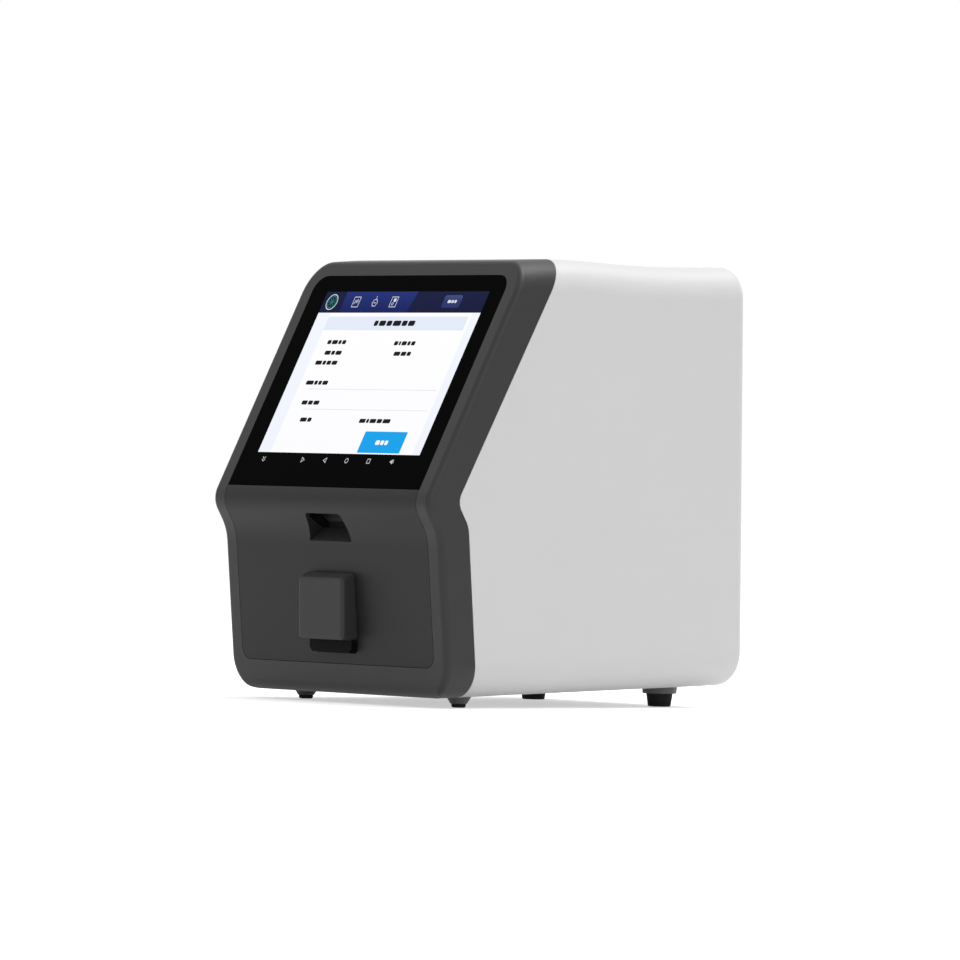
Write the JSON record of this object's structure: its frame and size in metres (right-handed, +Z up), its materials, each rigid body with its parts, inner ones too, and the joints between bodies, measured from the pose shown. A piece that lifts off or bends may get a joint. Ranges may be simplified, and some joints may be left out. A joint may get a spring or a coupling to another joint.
{
  "type": "fluorescence immunoassay analyzer",
  "caption": "Bench analyzer for fluorescent test cards: slanted touch screen, brow with a scanner scoop, card tray that slides out on a rack, printer lid on top and rear fan.",
  "frame": {"origin": "on the ground, in the middle of the object's width and depth", "axes": "+Z up, +Y to the rear (the screen and the tray face -Y), +X to the right seen from the front"},
  "size_m": [0.214, 0.2441, 0.2673],
  "materials": {
    "graphite_plastic": "fine satin texture",
    "cover_plastic": "fine satin texture",
    "block_plastic": "fine satin texture",
    "tray_plastic": "satin",
    "white_plastic": "fine satin",
    "screen_glass": "polished",
    "display_metal": "satin",
    "sheet_steel": "zinc satin",
    "screw_steel": "satin",
    "bright_steel": "ground",
    "circuit_green": "solder mask",
    "bare_aluminium": "satin",
    "black_aluminium": "anodised",
    "optic_glass": "polished",
    "filter_glass": "coated",
    "grey_plastic": "satin",
    "black_plastic": "satin",
    "motor_black": "satin",
    "gear_plastic": "satin",
    "black_rubber": "matt",
    "platen_rubber": "matt",
    "port_metal": "plated"
  },
  "bodies": {
    "case": {"front_shell": "graphite_plastic", "front_cover": "cover_plastic", "rear_housing": "white_plastic", "cover_glass": "screen_glass", "display_panel": "display_metal", "display_bracket": "sheet_steel", "display_screws": "screw_steel", "board_standoffs": "bright_steel", "main_board": "circuit_green", "board_heat_sink": "black_aluminium", "scanner_window": "grey_plastic", "scanner_body": "black_plastic", "base_plate": "sheet_steel", "base_screws": "screw_steel", "case_screws": "screw_steel", "linear_rail": "bright_steel", "guide_left": "black_plastic", "guide_right": "black_plastic", "tray_motor": "motor_black", "motor_bracket": "sheet_steel", "motor_screws": "screw_steel", "home_sensor": "black_plastic", "optics_bridge": "sheet_steel", "optics_block": "black_aluminium", "objective_lens": "optic_glass", "dichroic_mirror": "filter_glass", "excitation_filter": "filter_glass", "emission_filter": "filter_glass", "light_source": "optic_glass", "optics_heat_sink": "bare_aluminium", "detector": "bright_steel", "detector_board": "circuit_green", "printer_bucket": "black_plastic", "hinge_pin": "bright_steel", "print_head": "bare_aluminium", "front_feet": "grey_plastic", "front_soles": "black_rubber", "rear_feet": "grey_plastic", "rear_soles": "black_rubber", "io_plate": "sheet_steel", "io_screws": "screw_steel", "power_inlet": "black_plastic", "switch_frame": "black_plastic", "network_port": "port_metal", "data_ports": "port_metal", "fan_frame": "black_plastic", "fan_guard": "black_plastic", "power_board": "circuit_green", "power_standoffs": "bright_steel"},
    "tray_unit": {"card_tray": "tray_plastic", "tray_block": "block_plastic", "rail_carriage": "bright_steel", "carriage_screws": "screw_steel"},
    "pinion_unit": {"drive_pinion": "gear_plastic", "motor_shaft": "bright_steel"},
    "fan_unit": {"fan_rotor": "black_plastic"},
    "rocker_unit": {"power_rocker": "black_plastic"},
    "lid_unit": {"printer_lid": "white_plastic"},
    "platen_unit": {"platen_roller": "platen_rubber"}
  },
  "joints": [
    {"name": "tray_slide", "type": "slide", "parent": "case", "child": "tray_unit", "axis": [0, -1, 0], "range_m": [0, 0.08]},
    {"name": "pinion_spin", "type": "hinge", "parent": "case", "child": "pinion_unit", "pos_m": [0.0279, -0.01604, 0.04], "axis": [0, 0, 1], "continuous": true},
    {"name": "fan_spin", "type": "hinge", "parent": "case", "child": "fan_unit", "pos_m": [-0.044, 0.11865, 0.16198], "axis": [0, 0.9998, 0.0175], "continuous": true},
    {"name": "power_rocker_tilt", "type": "hinge", "parent": "case", "child": "rocker_unit", "pos_m": [0.028, 0.11786, 0.05795], "axis": [1, 0, 0], "range_deg": [-14, 0]},
    {"name": "printer_lid_hinge", "type": "hinge", "parent": "case", "child": "lid_unit", "pos_m": [0, 0.07495, 0.2606], "axis": [-1, 0, 0], "range_deg": [0, 80]},
    {"name": "platen_spin", "type": "hinge", "parent": "lid_unit", "child": "platen_unit", "pos_m": [0, 0.03995, 0.2536], "axis": [1, 0, 0], "continuous": true}
  ],
  "couplings": [
    {"joint": "pinion_spin", "follows": "tray_slide", "rad_per_m": 125}
  ]
}
